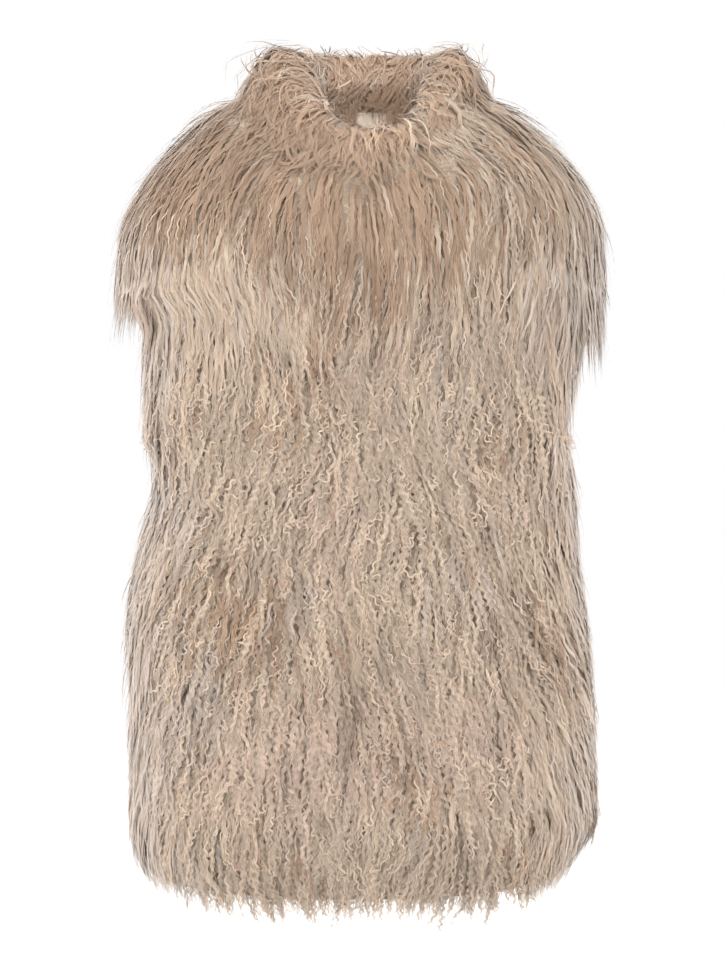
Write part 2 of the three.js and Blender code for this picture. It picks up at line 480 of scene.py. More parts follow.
def wool_material(name):
    """The locks: fine fibres side by side that wave together, part towards the tip and let what is behind
    show. Their colour carries painted shade at the roots and at each fibre's edges, and painted highlights on
    the crests of the waves."""
    chosen = colours()
    shader = Shader(name)
    across, along = shader.uv()
    column = (across * MAP_COLUMNS).math("FLOOR")
    row = (along * len(LIGHTNESS)).math("FLOOR")
    x = across * MAP_COLUMNS - column - 0.5
    t = along * len(LIGHTNESS) - row
    curly = (column / len(TONE_FAMILIES)).math("FLOOR")
    family = column.math("MODULO", float(len(TONE_FAMILIES)))
    cell = column * 1.7 + row * 4.3
    drift = (t * 5.1 + cell).math("SINE") * 0.3 + (t * 11.3 + cell * 1.9).math("SINE") * 0.16
    beat = (t * (8.5 + (sizes().waves - 8.5) * curly) + drift) * (2 * math.pi)
    wave = beat.math("SINE") * (0.75 + 0.65 * curly)
    place = x * FIBRES_ACROSS * (1 + 0.4 * t * t) + wave
    number = place.math("FLOOR")
    own = shader.white_noise(number, cell)
    other = shader.white_noise(number + 31.0, cell)
    aside = (place - number - 0.5 + (beat * 0.5 + own * 6.3).math("SINE") * 0.14).math("ABSOLUTE")
    left = 0.7 + 0.3 * other - t
    half = (0.46 + (0.5 - t) * 1.4).math("MAXIMUM", 0.5 - 0.12 * curly) * (left * 7.0).math("MINIMUM", 1.0)
    room = (number + 0.5).math("ABSOLUTE").math("LESS_THAN", FIBRES_ACROSS / 2 - 1.1)
    alpha = aside.math("LESS_THAN", half) * room
    profile = 1 - (aside / 0.5).power(2.0)
    tones = [linear(getattr(chosen, tone)) for tone in TONE_FAMILIES]
    colour = shader.steps((family + 0.5) / len(TONE_FAMILIES), tones)
    level = shader.steps((row + 0.5) / len(LIGHTNESS), [(value / LIGHTEST,) * 3 for value in LIGHTNESS])
    level = level * LIGHTEST
    # Painted shade towards each lock's root, milder on the smooth locks
    depth = shader.ramp(t, [(at, (value,) * 3) for at, value in ROOT_SHADE])
    depth = depth * (0.45 + 0.55 * curly) + 0.55 * (1 - curly)
    # Painted highlight on the crests of the waves and painted shade in their turns, stronger on curly locks
    crest = 1 + beat.math("COSINE") * (0.03 + 0.06 * curly)
    # Painted shade across each fibre: lighter along its middle, darker at its edges and in the grooves
    # between fibres, as a round fibre is lit
    shaded_groove = (0.72 - 0.26 * curly) + (0.32 + 0.34 * curly) * profile
    light = shaded_groove * (0.86 + 0.28 * own + (own - 0.5) * 0.14 * curly) * crest * depth * level
    roughness = 0.72 - 0.14 * profile
    return shader.finish(shader.shaded(colour, light), roughness, sheen=0.25, alpha=alpha)


def underwool_material(name):
    """The dense wool under the locks: fine crimped fibres that run down the panel."""
    base = colours().beige
    shader = Shader(name)
    across, along = shader.uv()
    wide = across * 330.0
    high = along * 830.0
    drift = shader.noise(shader.vector(wide / 60, high / 90), 1.0, 1.0)
    beat = (high * (2 * math.pi / 13.0) + drift * 22.0).math("SINE")
    fibres = shader.noise(shader.vector((wide + drift * 26.0 + beat * 1.7) / 2.3, high / 38), 1.0, 3.0, 0.6)
    cloud = shader.noise(shader.vector(wide / 22, high / 45), 1.0, 2.0)
    tones = [(at, tinted(base, share)) for at, share in ((0.3, 0.68), (0.5, 0.88), (0.72, 0.98))]
    colour = shader.ramp(fibres, tones)
    light = 0.8 + 0.35 * cloud
    return shader.finish(shader.shaded(colour, light), 0.75, fibres, 0.004, 0.9, 0.1)


def skin_material(name):
    """Napped suede on the inside."""
    base = colours().skin
    shader = Shader(name)
    place = shader.node("ShaderNodeTexCoord", None, None, "Object")
    nap = shader.noise(place, 900.0, 3.0)
    cloud = shader.noise(place, 14.0, 3.0)
    light = 0.82 + 0.2 * nap + 0.16 * cloud
    colour = shader.shaded(shader.ramp(cloud, [(0.3, tinted(base, 0.95)), (0.7, linear(base))]), light)
    return shader.finish(colour, 0.9, nap, 0.0004, 0.5, 0.2)


def label_material(name):
    """Satin-woven label: fine warp and weft lines, with no words."""
    base = colours().label
    shader = Shader(name)
    place = shader.node("ShaderNodeTexCoord", None, None, "Object")
    split = shader.node("ShaderNodeSeparateXYZ", None, {0: place})
    z = Field(shader, split.socket.node.outputs[2])
    warp = (split * 7000.0).math("SINE")
    weft = (z * 9000.0).math("SINE")
    light = 0.95 + 0.03 * warp + 0.03 * weft
    tones = [(0.0, tinted(base, 0.97)), (1.0, linear(base))]
    colour = shader.shaded(shader.ramp(0.5 + 0.5 * warp, tones), light)
    return shader.finish(colour, 0.42, warp + weft, 0.0002, 0.5)


def thread_material(name):
    """Matt sewing thread with a fine twist."""
    base = tuple(c * 0.93 for c in colours().label)
    shader = Shader(name)
    place = shader.node("ShaderNodeTexCoord", None, None, "Object")
    ply = shader.noise(place, 2600.0, 2.0)
    colour = shader.ramp(ply, [(0.35, tinted(base, 0.86)), (0.65, linear(base))])
    return shader.finish(colour, 0.7, ply, 0.0002, 0.5)


def link(mesh, name, material, node=None):
    """Makes the mesh a piece of the vest that rides on it."""
    piece = bpy.data.objects.new(name, mesh)
    bpy.context.scene.collection.objects.link(piece)
    mesh.materials.append(material)
    if not mesh.has_custom_normals:
        mesh.shade_smooth()
    if node:
        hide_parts(node)
    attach(piece, "root")
    return piece


def grid_mesh(name, point_of, wide, high, turned):
    """A grid of that many cells, each corner moved to point_of(across, up) with both from 0 to 1."""
    made = bmesh.new()
    bmesh.ops.create_grid(made, x_segments=wide, y_segments=high, size=0.5)
    places = np.array([v.co[:2] for v in made.verts]) + 0.5
    points = point_of(places[:, 0], places[:, 1]) * MM
    layer = made.loops.layers.uv.new("OFBake")
    for vertex, point in zip(made.verts, points):
        for loop in vertex.link_loops:
            loop[layer].uv = (vertex.co.x + 0.5, vertex.co.y + 0.5)
        vertex.co = Vector(point)
    if turned:
        bmesh.ops.reverse_faces(made, faces=made.faces)
    mesh = bpy.data.meshes.new(name)
    made.to_mesh(mesh)
    made.free()
    return mesh


class Form:
    """A piece of shearling as a form. point(across, up, height) gives its points in millimetres, up from 0 at
    the lower edge to 1 and height from 0 at the skin to 1 at the wool's reach."""

    outward = 1

    def slopes(self, across, up, height):
        """How its points move for each whole step across and up, with the outward direction."""
        step = 1e-3
        over = (self.point(across + step, up, height) - self.point(across - step, up, height)) / (2 * step)
        high = np.clip(up + step, 0, 1)
        low = np.clip(up - step, 0, 1)
        rise = (self.point(across, high, height) - self.point(across, low, height)) / (high - low)[:, None]
        return over, rise, unit(np.cross(over, rise)) * self.outward

    def scatter(self, count, chance):
        """Random places, evenly over its area, as (across, up)."""
        cells_wide = 48
        cells_high = 136
        a = (np.arange(cells_wide) + 0.5) / cells_wide
        v = (np.arange(cells_high) + 0.5) / cells_high
        aa, vv = (grid.ravel() for grid in np.meshgrid(a, v))
        over, rise, _ = self.slopes(aa, vv, np.full(len(aa), 0.8))
        area = np.linalg.norm(np.cross(over, rise), axis=1)
        place = (np.arange(count) + chance.uniform(size=count)) / count
        cell = np.clip(np.searchsorted(np.cumsum(area) / area.sum(), place), 0, len(aa) - 1)
        across = aa[cell] + chance.uniform(-0.5, 0.5, count) / cells_wide
        up = vv[cell] + chance.uniform(-0.5, 0.5, count) / cells_high
        return across, up

    def trails(self, across, up, look, steps=LOCK_STEPS):
        """The middle line of each lock, a walk down over the form while it rises from its root, with the
        outward and sideways directions along it. Past an edge it goes straight on, and a free lock hangs."""
        past = np.zeros((len(up), 3))
        lines, outs, sides = [], [], []
        for step in range(steps + 1):
            share = step / steps
            height = ROOT_HEIGHT + (look["top"] - ROOT_HEIGHT) * (1 - (1 - share) ** 2.5)
            over, rise, out = self.slopes(across, up, height)
            down = unit(-rise)
            side = unit(np.cross(out, down))
            lines.append(self.point(across, up, height) + past)
            outs.append(out)
            sides.append(side)
            winding = np.sin(look["phase"] + 2 * math.pi * share * look["length"] / look["crimp"])
            bend = look["wind"] * winding + look["hook"] * np.maximum(share - look["hook_start"], 0)
            heading = turned(down, side, look["angle"] + bend)
            drop = DOWN - out * -out[:, 2:3]
            pull = look["fall"] * share
            heading = unit(heading * (1 - pull)[:, None] + drop * pull[:, None])
            stride = (look["length"] / steps)[:, None]
            gone = look["free"] & ((up <= look["least_up"]) | (up >= 1))
            move = np.where(gone[:, None], 0.0, heading * stride)
            oo, rr, mix = (np.sum(p * q, axis=1) for p, q in ((over, over), (rise, rise), (over, rise)))
            mo, mr = (np.sum(move * q, axis=1) for q in (over, rise))
            whole = oo * rr - mix * mix
            across = across + (mo * rr - mr * mix) / whole
            up = up + (mr * oo - mo * mix) / whole
            inside = np.clip(across, self.least_across, self.most_across)
            above = np.clip(up, look["least_up"], 1)
            past = past + over * (across - inside)[:, None] + rise * (up - above)[:, None]
            past = past + np.where(gone[:, None], look["hang"] * stride, 0.0)
            across, up = inside, above
        return np.stack(lines, 1), np.stack(outs, 1), np.stack(sides, 1)


class Strip(Form):
    """A stretch of a panel: the front or back between two values of u, over all its rows."""

    def __init__(self, face, low, high):
        self.face = face
        self.low = low
        self.high = high
        self.outward = 1 if face == "front" else -1
        spare = 0.03
        self.least_across = 0.0 if low == -1 else -spare
        self.most_across = 1.0 if high == 1 else 1 + spare

    def u(self, across):
        return self.low + (self.high - self.low) * across

    def point(self, across, up, height):
        return layer_point(self.face, self.u(across), up * TOP, height)

    def skin(self, name):
        wide = round(26 * (self.high - self.low))
        return grid_mesh(name, lambda a, v: self.point(a, v, np.zeros(len(a))), wide, 68, self.face == "back")

    def underwool(self, name):
        """A dome over the skin that comes down to it at the hem and round the armhole."""
        edge = 0.012

        def height(across, up):
            place = up * TOP
            hole = np.clip(np.minimum(place - UNDERARM, TIP - place) / 0.6, 0, 1)
            side = np.clip((1 - np.abs(self.u(across))) / 0.05, 0, 1)
            rim = 1 - hole * (1 - np.sqrt(1 - (1 - side) ** 2))
            hem = np.sqrt(1 - (1 - np.clip(up / edge, 0, 1)) ** 2)
            return UNDERWOOL_HEIGHT * rim * hem

        def point(across, up):
            raised = self.point(across, up, height(across, up))
            out = unit(self.point(across, up, np.ones(len(up))) - self.point(across, up, np.zeros(len(up))))
            rough = 2.0 * ripple(raised * np.array([1, 1, 0.45]), 16, SEED) * np.clip(up * 20, 0, 1)
            return raised + out * rough[:, None]

        wide = round(44 * (self.high - self.low))
        return grid_mesh(name, point, wide, 96, self.face == "back")

    def ends(self, u, up, chance):
        """Where each lock's tip ends, how far down it follows the form, and whether it hangs free from there.
        Locks of the shoulder caps do so past the lip, and all others run on to the hem."""
        cap = (np.abs(u) > CAP_START) & (up * TOP > TIP - CAP_ROWS)
        hem = panel_point(WOOL_ROWS, self.face, u, np.zeros(len(u)))[:, 2] + 6
        lowest = np.where(cap, np.where(u < 0, *CAP_ENDS), hem) + chance.normal(0, 8, len(u))
        return {"lowest": lowest, "least_up": np.where(cap, (TIP - CAP_LIP) / TOP, 0.0), "free": cap}

    @staticmethod
    def sway(roots, shoulder):
        """How far the wool's lie turns aside in wide and narrow sweeps, less on the shoulders."""
        sweeps = 0.26 * ripple(roots, 75, SEED + 7) + 0.24 * ripple(roots, 28, SEED + 8)
        return sweeps * (1 - 0.4 * shoulder)

    def locks(self, name, seed):
        """Its locks: long and smooth on shoulders and sides, crimped in the middle, short at the hem."""
        wool = sizes()
        count = wool.panel_locks
        chance = np.random.RandomState(seed)
        across, up = self.scatter(count, chance)
        u = self.u(across)
        roots = self.point(across, up, np.full(count, ROOT_HEIGHT))
        x, z = roots[:, 0], roots[:, 2]
        shoulder = np.clip((z + 250) / 140, 0, 1)
        low = np.clip((-640 - z) / 110, 0, 1)
        sides = np.clip((np.abs(u) - 0.45) / 0.32, 0, 1)
        loose = np.clip(shoulder * 0.9 + sides * 0.7 + 0.3 * ripple(roots, 60, SEED + 5), 0, 1)
        thin = chance.uniform(size=count) < 0.3
        narrower = 1 - 0.3 * loose
        livelier = np.where(thin, 1.5, 1.0)
        calmer = 1 - 0.6 * loose
        look = {
            "width": wool.width / MM * chance.uniform(0.65, 1.3, count) * narrower,
            "swing": wool.swing / MM * chance.uniform(0.3, 1.4, count) * livelier * calmer,
            "crimp": chance.uniform(22, 44, count) * (1 + 0.4 * loose),
            "coil": chance.uniform(0.2, 0.7, count) * (1 - 0.5 * loose),
            "roll": chance.normal(0, 0.25, count) * (1 - 0.65 * loose),
            "phase": chance.uniform(0, 2 * math.pi, count),
            "part": np.where(thin, 0.42, 0.98),
            "hang": DOWN,
            "wind": 0.0,
            "hook": 0.0,
            "hook_start": 1.0,
            "stretch": 1 - 0.2 * low + 0.15 * loose,
        }
        length = wool.length / MM * (1 + 0.3 * shoulder - 0.3 * low) * chance.uniform(0.65, 1.25, count)
        look.update(self.ends(u, up, chance))
        look["length"] = np.clip(np.minimum(length, (z - look["lowest"]) * 1.03), 9, None)
        # Narrow grooves that run down the wool: the locks in them sit lower and carry painted shade
        shaded_groove = np.clip(ripple(roots * np.array([1, 1, 0.2]), 11, SEED + 12), 0, 1.5) * calmer
        raised = chance.uniform(-0.05, 0.04, count) + thin * chance.uniform(0, 0.08, count)
        look["top"] = 0.93 + raised * calmer - 0.07 * shaded_groove
        look["fall"] = np.clip(0.3 * shoulder + 0.35 * sides + chance.normal(0.1, 0.1, count), 0, 0.9)
        aside = np.sign(x) * np.clip((np.abs(x) - 80) / 110, 0, 1) * np.where(x > 0, 1.0, 0.55)
        outwards = (1 if self.face == "front" else -1) * aside * np.clip((-z - 330) / 120, 0, 1)
        spread = chance.normal(0, 1, count) * np.where(thin, 0.22, 0.08) * (1 - 0.4 * loose)
        look["angle"] = 0.34 * outwards + self.sway(roots, shoulder) + spread
        # Lighter where the wool is smooth; painted shade darkens the locks in the grooves and in the hollows
        lighter = 0.7 * loose - 0.6 - 0.9 * shaded_groove - 0.16 * trough_at(self.face, roots)
        look["cell"] = cell_of(roots, 1 - loose + 0.2 * low, chance, lighter)
        return ribbon_mesh(name, *self.trails(across, up, look), look)

    def curls(self, name, seed):
        """Fine strands on top: they wind and hook into rings in the middle, and fly loose at the sides."""
        wool = sizes()
        count = wool.panel_curls
        chance = np.random.RandomState(seed)
        across, up = self.scatter(count, chance)
        u = self.u(across)
        roots = self.point(across, up, np.full(count, ROOT_HEIGHT))
        z = roots[:, 2]
        shoulder = np.clip((z + 300) / 120, 0, 1)
        sides = np.clip((np.abs(u) - 0.5) / 0.3, 0, 1)
        loose = np.clip(np.maximum(shoulder, sides) + 0.25 * ripple(roots, 50, SEED + 11), 0, 1)
        tight = 1 - loose
        low = np.clip((-640 - z) / 110, 0, 1)
        look = {
            "width": np.full(count, wool.width / MM),
            "swing": np.zeros(count),
            "crimp": chance.uniform(8, 14, count) * (1 - 0.15 * low),
            "coil": np.zeros(count),
            "roll": chance.normal(0, 0.3, count),
            "phase": chance.uniform(0, 2 * math.pi, count),
            "part": chance.uniform(0.08, 0.24, count) * (1 - 0.3 * loose),
            "hang": DOWN,
            "wind": chance.uniform(0.6, 1.4, count) * tight + chance.uniform(0.3, 0.9, count) * loose,
            "hook": chance.choice([-1, 1], count) * chance.uniform(0, 30, count) * (tight**2 + 0.06),
            "hook_start": chance.uniform(0.5, 0.75, count),
            "stretch": np.full(count, 0.9),
            "length": wool.length / MM * chance.uniform(0.45, 0.8, count) * (1 + 0.1 * loose),
            "top": chance.uniform(0.93, 1.01, count) + loose * chance.uniform(0, 0.1, count),
            "fall": 0.3 * loose,
        }
        look.update(self.ends(u, up, chance))
        look["length"] = np.clip(np.minimum(look["length"], (z - look["lowest"]) * 1.2), 12, None)
        look["angle"] = self.sway(roots, shoulder) + chance.normal(0, 1, count) * (0.3 - 0.1 * loose)
        # Painted highlight: the crimped curls of the middle are lighter than the locks they lie on; painted
        # shade darkens those in the hollows
        lighter = 1.5 * tight + 0.1 - 0.1 * trough_at(self.face, roots)
        look["cell"] = cell_of(roots, np.full(count, -1.0), chance, lighter)
        return ribbon_mesh(name, *self.trails(across, up, look, CURL_STEPS), look)


def turned(down, side, angle):
    """Directions turned by an angle in the surface."""
    return unit(down * np.cos(angle)[:, None] + side * np.sin(angle)[:, None])


def spot(points, x, z, wide, high):
    """A soft round patch, 1 at its middle."""
    return np.exp(-(((points[:, 0] - x) / wide) ** 2) - ((points[:, 2] - z) / high) ** 2)


def cell_of(points, curly, chance, lighter=0.0):
    """Each lock's column and row in the wool's map: how it curls, its tone by where it grows, and its
    lightness, which also carries painted light and shade."""
    count = len(points)
    x, z = points[:, 0], points[:, 2]
    warm = 0.3 * ripple(points, 55, SEED + 1)
    for strength, place in WARM_SPOTS:
        warm += strength * spot(points, *place)
    pink = 0.35 * ripple(points, 70, SEED + 2) + 0.45 * spot(points, -30, -560, 130, 150)
    grey = (np.abs(x) / 225) ** 4 + 0.25 * ripple(points, 60, SEED + 3)
    grey += 0.4 * spot(points, -190, -540, 60, 200)
    beige = np.full(count, 0.45)
    scores = np.stack([warm, beige, pink, grey], -1) + chance.normal(0, 0.13, (count, 4))
    style = (curly + chance.normal(0, 0.2, count) > 0.5).astype(int)
    level = 2.6 + lighter + 0.4 * ripple(points, 40, SEED + 4) + chance.normal(0, 0.7, count)
    # Lightness by place: darker below the middle of the front neck and at the left cap's lip. Painted shade:
    # darker on the right cap and towards the hem, where the light falls off, and round the neckline and
    # collar, which also offsets the neck lamp's light. Painted light: lighter along the left side, whose edge
    # shows dark.
    level -= 1.1 * spot(points, 15, -110, 120, 85) + 1.3 * spot(points, 205, -140, 90, 110)
    level -= 2.2 * np.clip((z + 60) / 60, 0, 1) + 1.1 * np.clip((-640 - z) / 70, 0, 1)
    level += 0.9 * spot(points, -200, -560, 70, 190) - 1.2 * spot(points, -235, -195, 40, 22)
    level = np.clip(np.round(level), 0, len(LIGHTNESS) - 1)
    return style * len(TONE_FAMILIES) + scores.argmax(axis=1), level


def ribbon_mesh(name, line, out, side, look):
    """One mesh with a ribbon along each line. look holds arrays, sizes in millimetres: length, width, swing,
    crimp, coil, roll, phase, part of its cell's width that it takes, stretch of its waves, and cell."""
    count, corners = line.shape[:2]
    steps = corners - 1
    s = np.linspace(0, 1, corners)
    beats = look["phase"][:, None] + 2 * math.pi * s[None, :] * (look["length"] / look["crimp"])[:, None]
    grow = np.clip(s[None, :] * 3, 0, 1) * look["swing"][:, None]
    line = line + side * (np.sin(beats) * grow)[:, :, None]
    line = line + out * (np.cos(beats) * grow * look["coil"][:, None])[:, :, None]
    tangent = unit(np.gradient(line, axis=1))
    roll = look["roll"][:, None, None]
    wide = unit(np.cross(tangent, out * np.cos(roll) + side * np.sin(roll)))
    width = look["width"] * look["part"]
    taper = np.interp(s, [0, 0.2, 0.7, 1.0], [0.8, 1.0, 1.0, 0.9])
    half = wide * (taper[None, :] * width[:, None] / 2)[:, :, None]
    points = np.stack([line - half, line + half], axis=2).reshape(-1, 3) * MM
    soft = OUTWARD_SHARE * out + (1 - OUTWARD_SHARE) * unit(np.cross(wide, tangent))
    soft[:, :, 2] = np.maximum(soft[:, :, 2], LOWEST_NORMAL)
    soft = unit(soft)
    soft = np.repeat(soft[:, :, None, :], 2, axis=2).reshape(-1, 3)
    first = (np.arange(count) * corners * 2)[:, None] + (np.arange(steps) * 2)[None, :]
    quads = np.stack([first, first + 1, first + 3, first + 2], -1).reshape(-1, 4)
    column, level = look["cell"]
    span = look["part"]
    middle = 0.5 + (1 - span) * 0.2 * (look["phase"] / math.pi - 1)
    flip = np.where(np.sin(look["phase"] * 7) > 0, 1, -1)
    left = (column + middle - flip * span / 2) / MAP_COLUMNS
    right = (column + middle + flip * span / 2) / MAP_COLUMNS
    used = np.clip(look["length"] / (CELL_LENGTH * look["stretch"]), 0.1, MOST_USED)
    v = (level[:, None] + 0.99 - used[:, None] * (1 - s[None, :])) / len(LIGHTNESS)
    u = np.broadcast_to(np.stack([left, right, right, left], -1)[:, None, :], (count, steps, 4))
    v = np.stack([v[:, :-1], v[:, :-1], v[:, 1:], v[:, 1:]], -1)
    mesh = bpy.data.meshes.new(name)
    mesh.vertices.add(len(points))
    mesh.vertices.foreach_set("co", points.astype(np.float32).ravel())
    mesh.loops.add(quads.size)
    mesh.loops.foreach_set("vertex_index", quads.astype(np.int32).ravel())
    mesh.polygons.add(len(quads))
    mesh.polygons.foreach_set("loop_start", np.arange(0, quads.size, 4, dtype=np.int32))
    mesh.uv_layers.new(name="OFBake")
    mesh.uv_layers["OFBake"].data.foreach_set("uv", np.stack([u, v], -1).astype(np.float32).ravel())
    mesh.update(calc_edges=True)
    mesh.shade_smooth()
    mesh.normals_split_custom_set_from_vertices(soft)
    return mesh


class Ring(Form):
    """The collar, once round the neck from the closing: from its seat on the neckline up the outside, over
    the crest at the middle and down the inside."""

    outward = -1
    least_across = -0.03
    most_across = 1.03

    def __init__(self):
        rows = {"seat_out": WOOL_ROWS["neckline"], **COLLAR_ROWS, "seat_in": SKIN_ROWS["neckline"]}
        rows = {name: np.array(row, float) for name, row in rows.items()}
        sinks = np.array([name.endswith("_z") for name in COLUMNS]) * CREST_DROP
        self.reach = rows
        self.core = {}
        for (name, row), across_it in zip(rows.items(), reversed(rows.values())):
            middle = row * CORE_SHARE + across_it * (1 - CORE_SHARE)
            self.core[name] = middle - sinks * name.startswith("crest")
        self.last = len(rows) - 1

    def point(self, across, up, height):
        turn = np.asarray(across, float)
        place = np.asarray(up, float) * self.last
        behind = (turn > 0.25) & (turn < 0.75)
        u = np.where(behind, 4 * turn - 2, np.where(turn <= 0.25, -4 * turn, 4 - 4 * turn))
        ends = []
        for rows in (self.core, self.reach):
            front = panel_point(rows, "front", u, place)
            back = panel_point(rows, "back", u, place)
            ends.append(np.where(behind[:, None], back, front))
        return ends[0] + (ends[1] - ends[0]) * height[:, None]

    def layer(self, name, height, high):
        """A mesh of the whole ring at one height above its skin, of that many cells up."""
        return grid_mesh(name, lambda a, v: self.point(a, v, np.full(len(a), height)), 96, high, True)

    def locks(self, name, seed):
        """Its locks: smooth and brownish, out over the shoulders, down into the neck, or over the crest."""
        wool = sizes()
        count = wool.collar_locks
        chance = np.random.RandomState(seed)
        across, up = self.scatter(count, chance)
        roots = self.point(across, up, np.full(count, ROOT_HEIGHT))
        thin = chance.uniform(size=count) < 0.35
        inside = up > 0.5
        over = chance.uniform(size=count) < 0.32
        x, y = roots[:, 0], roots[:, 1]
        beside_label = np.abs(x - LABEL_MIDDLE) > LABEL_WIDTH / 2 + 6
        length = np.where(inside, 0.85, 0.7) * wool.length / MM * chance.uniform(0.5, 1.3, count)
        lowest = np.where(beside_label, -24, -3) + chance.normal(0, 2, count)
        away = unit(roots * np.array([1.0, 1.0, 0.0]))
        behind = ~inside & ~over & (y > -20)
        length = np.where(behind, np.maximum(length, roots[:, 2] - 18 + chance.uniform(0, 50, count)), length)
        hanging = inside & ~over & (y > 20)
        length = np.where(hanging, np.clip(roots[:, 2] - lowest, 12, np.where(beside_label, 90, 45)), length)
        swirl = 0.5 * ripple(roots, 30, SEED + 9) + chance.normal(0, 1, count) * np.where(thin, 0.45, 0.22)
        standing = over * (1 + 3 * thin)
        look = {
            "width": wool.width / MM * chance.uniform(0.7, 1.1, count),
            "swing": wool.swing / MM * chance.uniform(0.3, 1.5, count),
            "crimp": chance.uniform(22, 44, count),
            "coil": chance.uniform(0.2, 0.9, count),
            "roll": chance.normal(0, 0.2, count),
            "phase": chance.uniform(0, 2 * math.pi, count),
            "part": np.where(thin, chance.uniform(0.1, 0.25, count), chance.uniform(0.35, 0.7, count)),
            "free": inside | (y > -20),
            "hang": unit(DOWN + 0.45 * away * ~inside[:, None]),
            "wind": chance.uniform(0, 0.5, count),
            "hook": chance.normal(0, 2.5, count),
            "hook_start": 0.5,
            "stretch": np.full(count, 1.1),
            "length": length,
            "top": (
                chance.uniform(0.85, 1.05, count)
                + standing * chance.uniform(0, 0.35, count)
                + 0.4 * hanging
            ),
            "least_up": 0.0,
            "fall": np.where(over, 0.1, 0.4),
            "angle": swirl + np.where(inside ^ over, math.pi, 0.0),
            # Painted light: locks inside the collar are lighter, to lift the shade inside the neck
            "cell": cell_of(roots, np.full(count, -1.0), chance, 1.4 * inside - 0.6),
        }
        return ribbon_mesh(name, *self.trails(across, up, look), look)


def label_points(across, up, depth):
    """Points of the label on the back's skin, in millimetres, moved in from it by depth."""
    last = len(SKIN_ROWS) - 1
    drop = SKIN_ROWS["neckline"][3] - SKIN_ROWS["shoulder_inner"][3]
    place = last - (LABEL_BELOW_SEAM + LABEL_HEIGHT * (1 - up)) / drop
    x = LABEL_WIDTH * (across - 0.5)
    row = {name: smooth_at(values, place) for name, values in columns_of(SKIN_ROWS).items()}
    reach = np.where(x < 0, row["left_x"] + row["close_x"], row["right_x"] - row["close_x"])
    u = np.sign(x) * (2 / math.pi) * np.arcsin(np.abs(x / reach) ** (SQUARENESS / 2))
    points = panel_point(SKIN_ROWS, "back", u, place)
    centre = np.stack([row["close_x"], np.zeros(len(x)), points[:, 2]], -1)
    return points + unit(centre - points) * depth


def thicken(sheet, thickness, offset):
    """Gives a sheet its wall, on the side that offset says."""
    wall = sheet.modifiers.new("wall", "SOLIDIFY")
    wall.thickness = thickness * MM
    wall.offset = offset


def seed_of(name, factor):
    """A seed of its own for each piece, from its name."""
    return SEED * factor + sum(map(ord, name))


def make_panel(node, strips):
    """One shearling panel: the skin, its underwool, locks and curls."""
    whole = Strip(strips[0].face, strips[0].low, strips[-1].high)
    skin = link(whole.skin(node + "_skin"), node + "_skin", cached("suede", skin_material), node)
    thicken(skin, SKIN_THICKNESS, 1.0)
    tails = ("",) if len(strips) == 1 else ("_left", "_right")
    for strip, tail in zip(strips, tails):
        under = node + "_underwool" + tail
        locks = node + "_locks" + tail
        curls = node + "_curls" + tail
        dome = strip.underwool(under)
        link(dome, under, cached("underwool", underwool_material))
        for name, grow, factor in ((locks, strip.locks, 7), (curls, strip.curls, 5)):
            mesh = grow(name, seed_of(name, factor))
            link(mesh, name, cached("wool_locks", wool_material))


class VEST_OT_front(bpy.types.Operator):
    """Both front panels: skin, underwool and locks"""

    bl_idname = "vest.front"
    bl_label = "Fronts"

    def execute(self, context):
        make_panel("front_left", [Strip("front", -1.0, 0.0)])
        make_panel("front_right", [Strip("front", 0.0, 1.0)])
        return {"FINISHED"}


class VEST_OT_back(bpy.types.Operator):
    """The back panel: skin, underwool and locks"""

    bl_idname = "vest.back"
    bl_label = "Back"

    def execute(self, context):
        halves = [Strip("back", -1.0, 0.0), Strip("back", 0.0, 1.0)]
        make_panel("back", halves)
        return {"FINISHED"}


class VEST_OT_collar(bpy.types.Operator):
    """The collar band: skin folded over the neckline, with underwool and locks on both sides"""

    bl_idname = "vest.collar"
    bl_label = "Collar"

    def execute(self, context):
        ring = Ring()
        band = ring.layer("collar_skin", 0.0, 16)
        skin = link(band, "collar_skin", cached("suede", skin_material), "collar")
        thicken(skin, SKIN_THICKNESS, -1.0)
        dome = ring.layer("collar_underwool", UNDERWOOL_HEIGHT, 24)
        wool = ring.locks("collar_locks", SEED * 9)
        pieces = [
            link(dome, "collar_underwool", cached("underwool", underwool_material)),
            link(wool, "collar_locks", cached("wool_locks", wool_material)),
        ]
        return {"FINISHED"}


